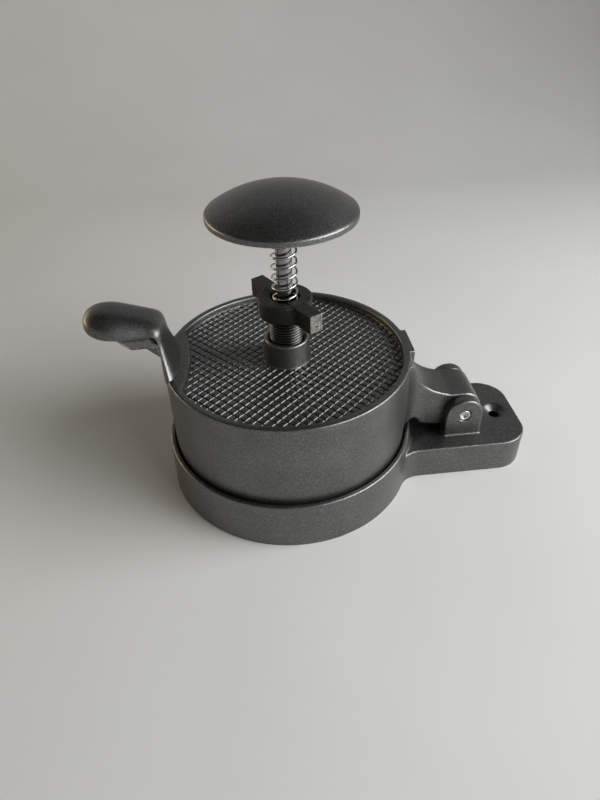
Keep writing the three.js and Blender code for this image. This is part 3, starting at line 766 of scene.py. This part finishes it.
# Each finish: the slot of the pieces that have it, and the function that makes its material.
FINISHES = {
    "coated": ("coated_casting", coated_cast_aluminium),
    "collar": ("black_collar", black_cast_iron),
    # bright plating over drawn wire: near-mirror with faint drawing lines
    "wire": ("chrome", lambda: steel("chrome_plated_steel", "#c9c8c5", 0.07, 0.3, 0.03)),
    # a ground bar: rings too fine to see, which draw its highlights out along it
    "bar": ("chrome", lambda: steel("ground_steel_bar", "#a09f9c", 0.12, 0.3, 0.03, 0.4)),
    # a cut thread: grey and satin, with tool rings
    "thread": ("steel_thread", lambda: steel("turned_steel_thread", "#6c6b67", 0.26, 0.25, 0.04)),
    # a zinc-plated rivet, screw and washer: pale, slightly cloudy
    "zinc": ("zinc_steel", lambda: steel("zinc_plated_steel", "#e2e1dd", 0.36, 0.4, 0.1)),
}


def shared_material(finish):
    """A finish's material, made the first time that it is asked for."""
    label = "press_" + finish
    if label not in bpy.context.scene:
        bpy.context.scene[label] = FINISHES[finish][1]()
    return bpy.context.scene[label]


# ---------- pieces ----------


class PRESS_OT_base(bpy.types.Operator):
    """Base casting: dish with waffle floor, tail and hinge ears"""

    bl_idname = "press.base"
    bl_label = "Base casting"

    def execute(self, context):
        cast_piece("base_dish_and_tail", "base_casting", base_distance, sizes().cast_cell,
                   "base", "coated")
        waffle_skin("dish_floor_waffle", DISH_RADIUS + 0.6, DISH_FLOOR, 1, "base")
        return {"FINISHED"}


class PRESS_OT_rivet(bpy.types.Operator):
    """Tubular rivet through the hinge"""

    bl_idname = "press.rivet"
    bl_label = "Hinge rivet"

    def execute(self, context):
        near, far = RIVET_LOW[1], RIVET_HIGH[1]
        bore, depth = 1.9, 1.6
        profile = [(0, near + depth), (bore, near + depth), (bore, near + 0.5),
                   (bore + 0.2, near), (PIN_RADIUS - 0.25, near), (PIN_RADIUS, near + 0.3),
                   (PIN_RADIUS, far - 1.8), (5.0, far - 1.8), (4.9, far - 1.0), (3.4, far - 0.2),
                   (0, far)]
        points, faces = turned(softened(profile, 0.35), 64)
        placed = [(HINGE_X + x, along, HINGE_Z + y) for x, y, along in points]
        new_piece("hinge_rivet_rolled", placed, faces, "base", "zinc", ["hinge_rivet"])
        return {"FINISHED"}


class PRESS_OT_lid(bpy.types.Operator):
    """Lid casting: mould ring, waffle deck, boss and hinge arm"""

    bl_idname = "press.lid"
    bl_label = "Lid casting"

    def execute(self, context):
        cast_piece("mould_ring_and_arm", "lid_casting", lid_distance, sizes().cast_cell,
                   "lid", "coated")
        waffle_skin("deck_waffle", MOULD_INNER + 1.2, DECK_TOP, 1, "lid", BORE_RADIUS + 1.2)
        return {"FINISHED"}


HANDLE_SECTIONS = [  # x beyond the mould's wall, z over its top, bend, half width, outer, inner
    (3.5, -1.5, 90, 19.5, 3.4, 4.8),
    (2.6, 4.0, 90, 16.4, 2.6, 4.0),
    (1.7, 10.0, 90, 13.4, 1.8, 3.3),
    (1.0, 15.5, 95, 11.2, 1.4, 3.0),
    (-0.6, 19.6, 130, 11.2, 1.6, 4.2),
    (-5.0, 20.2, 172, 11.2, 2.2, 6.4),
    (-12.0, 20.4, 180, 12.3, 2.0, 8.6),
    (-19.0, 20.9, 182, 13.2, 1.6, 10.0),
    (-24.6, 21.7, 184, 12.5, 1.4, 9.2),
    (-28.6, 22.6, 187, 10.2, 1.2, 7.0),
    (-31.0, 23.4, 190, 7.1, 1.0, 4.4),
    (-32.2, 24.0, 190, 3.4, 0.6, 1.8),
]


def smooth_rows(rows, steps):
    """Catmull-Rom rows between the given rows."""
    rows = np.array(rows, float)
    ends = np.vstack([2 * rows[0] - rows[1], rows, 2 * rows[-1] - rows[-2]])
    result = []
    for n in range(1, len(ends) - 2):
        p0, p1, p2, p3 = ends[n - 1:n + 3]
        for i in range(steps):
            t = i / steps
            result.append(0.5 * (2 * p1 + (p2 - p0) * t + (2 * p0 - 5 * p1 + 4 * p2 - p3) * t ** 2
                                 + (3 * p1 - p0 - 3 * p2 + p3) * t ** 3))
    return result + [rows[-1]]


def handle_ring(row, sides=56):
    """One cross-section of the handle, square to its path."""
    x, z, bend, half, outer, inner = row
    slope = math.radians(bend)
    outward = np.array([-math.sin(slope), 0, math.cos(slope)])
    centre = np.array([x - MOULD_OUTER, 0, z + MOULD_TOP])
    ring = []
    for i in range(sides):
        angle = 2 * math.pi * i / sides
        cos, sin = math.cos(angle), math.sin(angle)
        across = half * math.copysign(abs(cos) ** 0.8, cos)
        raised = sin * (outer if sin > 0 else inner)
        ring.append(tuple(centre + np.array([0, across, 0]) + outward * raised))
    return ring


class PRESS_OT_handle(bpy.types.Operator):
    """Handle on the lid: foot, bend, domed thumb paddle and the rib below it"""

    bl_idname = "press.handle"
    bl_label = "Handle"

    def execute(self, context):
        points, faces = lofted([handle_ring(row) for row in smooth_rows(HANDLE_SECTIONS, 7)])
        new_piece("handle_paddle", points, faces, "lid", "coated")
        wall, top = -MOULD_OUTER, MOULD_TOP
        outline = [(wall + 1, top + 5), (wall - 15, top + 19.4), (wall - 15, top + 22),
                   (wall - 4, top + 22), (wall + 1.5, top + 16)]
        half = 2.5
        rings = []
        for y, inset in ((-half, 0.9), (-half + 0.3, 0.3), (-half + 0.9, 0),
                         (half - 0.9, 0), (half - 0.3, 0.3), (half, 0.9)):
            cx, cz = np.mean(outline, axis=0)
            fine = finely(outline + outline[:1], 1.0)[:-1]
            rings.append([(x + (cx - x) * inset / 9, y, z + (cz - z) * inset / 9) for x, z in fine])
        points, faces = lofted(rings)
        new_piece("handle_rib", points, faces, "lid", "coated")
        return {"FINISHED"}


class PRESS_OT_adjuster(bpy.types.Operator):
    """Winged collar and its threaded sleeve"""

    bl_idname = "press.adjuster"
    bl_label = "Adjuster"

    def execute(self, context):
        collar = cast_piece("collar_with_wings", "winged_collar", collar_distance,
                            sizes().small_cell, "adjuster", "collar")
        along = Vector((math.cos(WING_TURN), math.sin(WING_TURN), 0)) / MM
        # marks the wing ends for their pale speckle: partly sawn metal, partly a painted highlight
        store(collar.data, "bare_end_and_sheen", [float(abs(vertex.co.dot(along)) > WING_REACH - 0.2)
                                        for vertex in collar.data.vertices])
        shoulder, low, top = COLLAR_BOTTOM - 0.3, SLEEVE_LOW[2], SLEEVE_HIGH[2]
        relief = 2.4  # plain neck between the thread and the collar
        segments, rows_per_turn = 72, 8
        count = math.ceil((shoulder - low) / THREAD_PITCH * rows_per_turn)
        heights = np.linspace(low, shoulder, count + 1)
        spigot, bore = COLLAR_BORE - 0.3, 4.2
        inner = [(spigot, shoulder), (spigot, top - 0.3), (spigot - 0.3, top), (bore + 0.4, top),
                 (bore, top - 0.5), (bore, low + 0.4), (bore + 0.4, low)]
        profile = [(THREAD_RADIUS, z) for z in heights] + inner
        points, faces = turned(profile, segments)
        threaded, hollow = [], []
        for x, y, z in points:
            r = math.hypot(x, y)
            if abs(r - THREAD_RADIUS) < 1e-6:
                phase = (z / THREAD_PITCH - math.atan2(y, x) / (2 * math.pi)) % 1
                flank = min(1.0, max(0.0, (abs(phase - 0.5) * 2 - 0.12) / 0.76))
                ends = min(1.0, (z - low) / 0.8, (shoulder - relief - z) / 0.8)
                scale = (THREAD_RADIUS - THREAD_DEPTH * (1 - (1 - flank) * max(ends, 0))) / r
                x, y = x * scale, y * scale
            threaded.append((x, y, z))
            hollow.append((THREAD_RADIUS - math.hypot(x, y)) / THREAD_DEPTH)
        sleeve = new_piece("sleeve_with_thread", threaded, faces, "adjuster", "thread",
                           ["threaded_sleeve"])
        inside = 1.01  # points deeper than the thread belong to the bore
        # thread depth, which the thread material turns into painted shade in the roots
        store(sleeve.data, "hollow", np.where(np.array(hollow) > inside, 0, hollow))
        return {"FINISHED"}


def spring_height(turn, open_turns):
    """Height along the spring, 0 to 1: one closing turn at each end, open turns between."""
    closing = 0.35
    total = open_turns + 2 * closing
    if turn < 1:
        return closing * turn / total
    if turn > open_turns + 1:
        return (closing + open_turns + closing * (turn - open_turns - 1)) / total
    return (closing + turn - 1) / total


class PRESS_OT_spring(bpy.types.Operator):
    """Return spring, from the sleeve's end to the knob's hub"""

    bl_idname = "press.spring"
    bl_label = "Return spring"

    def execute(self, context):
        wire = 0.55
        middle = SPRING_HIGH[0] - wire
        low, high = SPRING_LOW[2] + wire, SPRING_HIGH[2] - wire
        turns = sizes().spring_coils + 2
        steps, sides = int(turns * 40), 12
        path = []
        for i in range(steps + 1):
            turn = turns * i / steps
            angle = 2 * math.pi * turn + 2.4
            height = low + (high - low) * spring_height(turn, sizes().spring_coils)
            path.append(np.array([middle * math.cos(angle), middle * math.sin(angle), height]))
        rings = []
        for i, centre in enumerate(path):
            ahead = path[min(i + 1, steps)] - path[max(i - 1, 0)]
            ahead /= np.linalg.norm(ahead)
            out = np.array([centre[0], centre[1], 0]) / math.hypot(centre[0], centre[1])
            side = np.cross(ahead, out)
            rings.append([tuple(centre + wire * (math.cos(a) * out + math.sin(a) * side))
                          for a in np.arange(sides) * 2 * math.pi / sides])
        points, faces = lofted(rings)
        spring = new_piece("return_spring_wire", points, faces, "spring_stack", "wire",
                           ["return_spring"])
        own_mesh(spring)
        return {"FINISHED"}


KNOB_SKIN = 3.6
KNOB_BAND = 2.6
KNOB_HUB = 6.5


def knob_profile():
    """Dome, rim band, hollow underside and hub, from the top centre round to the hub's end."""
    radius, rim, apex = KNOB_HIGH[0], KNOB_LOW[2] + 1.1, KNOB_HIGH[2]
    band_top = rim + KNOB_BAND
    rise = apex - band_top
    sphere = (radius ** 2 + rise ** 2) / (2 * rise)
    centre = apex - sphere
    end = math.asin(radius / sphere)
    dome = [(sphere * math.sin(a), centre + sphere * math.cos(a))
            for a in np.linspace(0, end * 0.985, 40)]
    dome[0] = (0, apex)
    inner = sphere - KNOB_SKIN
    lip = radius - KNOB_SKIN
    under = [(inner * math.sin(a), centre + inner * math.cos(a))
             for a in np.linspace(math.asin(lip / inner), math.asin((KNOB_HUB + 2) / inner), 24)]
    lowest = KNOB_LOW[2]
    corners = [(radius, band_top - 0.3), (radius, rim + 0.1), (radius - 0.5, rim),
               (lip + 0.2, rim)]
    hub_root = (KNOB_HUB, under[-1][1] - 1.2)
    hub = [hub_root, (KNOB_HUB, lowest + 0.4), (KNOB_HUB - 0.5, lowest), (4.05, lowest),
           (4.05, lowest + 9), (0, lowest + 9)]
    return dome[:-1] + softened([dome[-1]] + corners + [under[0]], 0.5) + under[1:] + hub


class PRESS_OT_knob(bpy.types.Operator):
    """Palm knob: shallow dome over a hollow underside with a hub"""

    bl_idname = "press.knob"
    bl_label = "Palm knob"

    def execute(self, context):
        points, faces = turned(finely(knob_profile(), 1.2), 160)
        new_piece("palm_knob_dome", points, faces, "ejector", "coated", ["palm_knob"])
        return {"FINISHED"}


class PRESS_OT_rod(bpy.types.Operator):
    """Plunger rod with its tapped lower end"""

    bl_idname = "press.rod"
    bl_label = "Plunger rod"

    def execute(self, context):
        radius, low, high = ROD_HIGH[0], ROD_LOW[2], ROD_HIGH[2]
        profile = [(0, low + 12), (2.6, low + 12), (2.6, low), (radius - 0.4, low),
                   (radius, low + 0.4), (radius, high - 0.5), (radius - 0.5, high), (0, high)]
        points, faces = turned(finely(profile, 3.0), 64)
        new_piece("plunger_rod_bar", points, faces, "ejector", "bar", ["plunger_rod"])
        return {"FINISHED"}


class PRESS_OT_plate(bpy.types.Operator):
    """Press plate with its waffle face, and the washer and screw that hold it"""

    bl_idname = "press.plate"
    bl_label = "Press plate"

    def execute(self, context):
        radius, low, hub_top = PLATE_HIGH[0], PLATE_LOW[2], PLATE_HIGH[2]
        back, lip = low + 4, radius - 3
        counterbore, sink_top, screw_hole, socket = 5.7, low + 3.5, 2.6, 4.05
        skin = low + WAFFLE_SKIN
        profile = [(screw_hole, sink_top), (counterbore, sink_top), (counterbore, low + 0.3),
                   (counterbore + 0.3, low), (counterbore + 1.5, low), (counterbore + 1.5, skin),
                   (lip + 0.6, skin), (lip + 0.6, low), (radius - 0.6, low), (radius, low + 0.6),
                   (radius, back + 1.4), (radius - 0.6, back + 2), (lip + 0.4, back + 2),
                   (lip, back + 1.6), (lip, back), (9, back), (9, hub_top - 0.5),
                   (8.5, hub_top), (socket, hub_top), (socket, hub_top - 3.4),
                   (screw_hole, hub_top - 3.4)]
        points, faces = turned(finely(profile + profile[:1], 4.0)[:-1], 144)
        new_piece("press_plate_body", points, faces, "ejector", "coated", ["press_plate"])
        waffle_skin("press_plate_waffle", lip - 0.2, low, -1, "ejector", counterbore + 1.9)
        for n in range(6):
            angle = math.radians(60 * n)
            rings = []
            for reach in (8, 20, 32, 44, lip + 0.5):
                ring = []
                for across, z in ((-1.5, back - 0.5), (1.5, back - 0.5), (1.5, back + 1.5),
                                  (1.0, back + 2), (-1.0, back + 2), (-1.5, back + 1.5)):
                    ring.append((reach * math.cos(angle) - across * math.sin(angle),
                                 reach * math.sin(angle) + across * math.cos(angle), z))
                rings.append(ring)
            points, faces = lofted(rings)
            new_piece(f"press_plate_rib_{n + 1}", points, faces, "ejector", "coated")
        screw_cell = 0.22 * MM
        cast_piece("plate_screw_slotted", "plate_screw", screw_distance, screw_cell, "ejector",
                   "zinc")
        wide, bottom, top = WASHER_HIGH[0], WASHER_LOW[2], WASHER_HIGH[2]
        profile = [(screw_hole, bottom), (wide - 0.2, bottom), (wide, bottom + 0.2),
                   (wide, top), (screw_hole, top)]
        points, faces = turned(profile, 64)
        new_piece("plate_washer_flat", points, faces, "ejector", "zinc", ["plate_washer"])
        return {"FINISHED"}


# ---------- stage ----------

VIEW_TURN = math.radians(5.5)  # the part's +X from the camera's right
VIEW_DISTANCE = 319.99
VIEW_ELEVATION = math.radians(38.73)
VIEW_ROLL = math.radians(-1.49)
VIEW_TARGET = (5.65, 0.0, 38.83)
LENS = 27.225
SENSOR = 36.0


def add_light(name, heading, height, distance, size, power, colour, spread=180):
    """A soft panel that faces the press; heading and height are in degrees from its middle, and
    spread is how widely it fans out."""
    data = bpy.data.lights.new(name, "AREA")
    data.shape = "RECTANGLE"
    data.size, data.size_y = size
    data.energy = power
    data.spread = math.radians(spread)
    data.color = colour
    light = bpy.data.objects.new(name, data)
    bpy.context.scene.collection.objects.link(light)
    turn, tilt = math.radians(heading), math.radians(height)
    outward = Vector((math.cos(tilt) * math.cos(turn), math.cos(tilt) * math.sin(turn),
                      math.sin(tilt)))
    light.location = outward * distance + Vector((0, 0, 0.06))
    light.rotation_euler = outward.to_track_quat("Z", "Y").to_euler()
    return light


class PRESS_OT_stage(bpy.types.Operator):
    """Pale floor, soft lights and camera"""

    bl_idname = "press.stage"
    bl_label = "Stage"

    def execute(self, context):
        scene = context.scene
        turn = Matrix.Rotation(-VIEW_TURN, 4, "Z")
        back = Vector((0, -math.cos(VIEW_ELEVATION), math.sin(VIEW_ELEVATION)))
        right = Vector((1, 0, 0))
        up = back.cross(right)
        cos, sin = math.cos(VIEW_ROLL), math.sin(VIEW_ROLL)
        axes = Matrix((cos * right + sin * up, -sin * right + cos * up, back)).transposed()
        data = bpy.data.cameras.new("camera")
        data.sensor_fit, data.sensor_height, data.sensor_width = "VERTICAL", SENSOR, SENSOR
        data.lens = LENS
        data.clip_start, data.clip_end = 0.01, 20
        camera = bpy.data.objects.new("camera", data)
        scene.collection.objects.link(camera)
        place = Matrix.Translation((Vector(VIEW_TARGET) + back * VIEW_DISTANCE) * MM)
        camera.matrix_world = turn @ place @ axes.to_4x4()
        scene.camera = camera

        material, tree, where = surface("matt_white_paper")
        mottle = noise(tree, where, 120.0, 3.0)
        base = list(colours().floor)
        colour = ramp(tree, mottle, ((0.3, [c * 0.96 for c in base]), (0.7, base)))
        principled(tree, {"Base Color": colour}, Roughness=0.7)
        side, front, bend_at, bend = 2.2, -2.0, 0.42, 0.6
        path = [(front, 0.0)] + [(bend_at + bend * math.sin(a), bend * (1 - math.cos(a)))
                                 for a in np.linspace(0, math.radians(52), 27)]
        points = [(x, y, z) for y, z in path for x in (-side, side)]
        mesh = bpy.data.meshes.new("floor")
        strips = [(n, n + 1, n + 3, n + 2) for n in range(0, len(points) - 2, 2)]
        mesh.from_pydata(points, [], strips)
        mesh.polygons.foreach_set("use_smooth", [True] * len(mesh.polygons))
        mesh.materials.append(material)
        floor = bpy.data.objects.new("floor", mesh)
        scene.collection.objects.link(floor)

        world = bpy.data.worlds.new("studio")
        world.use_nodes = True
        tree = world.node_tree
        upward = add(tree, "ShaderNodeTexCoord").outputs["Generated"]
        height = add(tree, "ShaderNodeSeparateXYZ", {0: upward}).outputs["Z"]
        glow = ramp(tree, height, ((0.0, (0.62, 0.58, 0.52)), (0.42, (0.03, 0.03, 0.03))))
        tree.links.new(glow, tree.nodes["Background"].inputs["Color"])
        scene.world = world
        add_light("window", -18, 26, 0.95, (0.8, 0.6), 4.3, (0.97, 0.99, 1.0), 100)
        add_light("window_far", -52, 15, 2.0, (0.8, 0.8), 12, (0.97, 0.99, 1.0))
        add_light("pale_wall", 82, 40, 1.4, (2.2, 1.0), 1.7, (0.97, 0.98, 1.0))
        add_light("warm_room", 150, 10, 1.6, (1.2, 0.4), 7, (1.0, 0.8, 0.52))
        scene.view_settings.view_transform = "Standard"
        return {"FINISHED"}


OPERATORS = (PRESS_OT_stage, PRESS_OT_base, PRESS_OT_rivet, PRESS_OT_lid, PRESS_OT_handle,
             PRESS_OT_adjuster, PRESS_OT_spring, PRESS_OT_knob, PRESS_OT_rod, PRESS_OT_plate)


class PRESS_PT_panel(bpy.types.Panel):
    """Lists the press's pieces"""

    bl_idname = "PRESS_PT_panel"
    bl_label = "Burger press"
    bl_space_type = "VIEW_3D"
    bl_region_type = "UI"
    bl_category = "Burger press"

    def draw(self, context):
        for group in (context.scene.press_sizes, context.scene.press_colours):
            box = self.layout.box()
            for name in group.__annotations__:
                box.prop(group, name)
        for operator in OPERATORS:
            self.layout.operator(operator.bl_idname)


CLASSES = (PressSizes, PressColours, *OPERATORS, PRESS_PT_panel)
DEFAULT_COLOURS = {"coating": "#6d6d6b", "worn_metal_and_sheen": "#b9b7b2", "collar": "#1d1d1b",
                   "floor": "#e2e1de"}


def register():
    for cls in CLASSES:
        bpy.utils.register_class(cls)
    bpy.types.Scene.press_sizes = PointerProperty(type=PressSizes)
    bpy.types.Scene.press_colours = PointerProperty(type=PressColours)


def unregister():
    del bpy.types.Scene.press_colours
    del bpy.types.Scene.press_sizes
    for cls in reversed(CLASSES):
        bpy.utils.unregister_class(cls)


def main():
    register()
    for name, tone in DEFAULT_COLOURS.items():
        setattr(bpy.context.scene.press_colours, name, linear(tone))
    for operator in OPERATORS:
        group, name = operator.bl_idname.split(".")
        getattr(getattr(bpy.ops, group), name)()


if __name__ == "__main__":
    main()
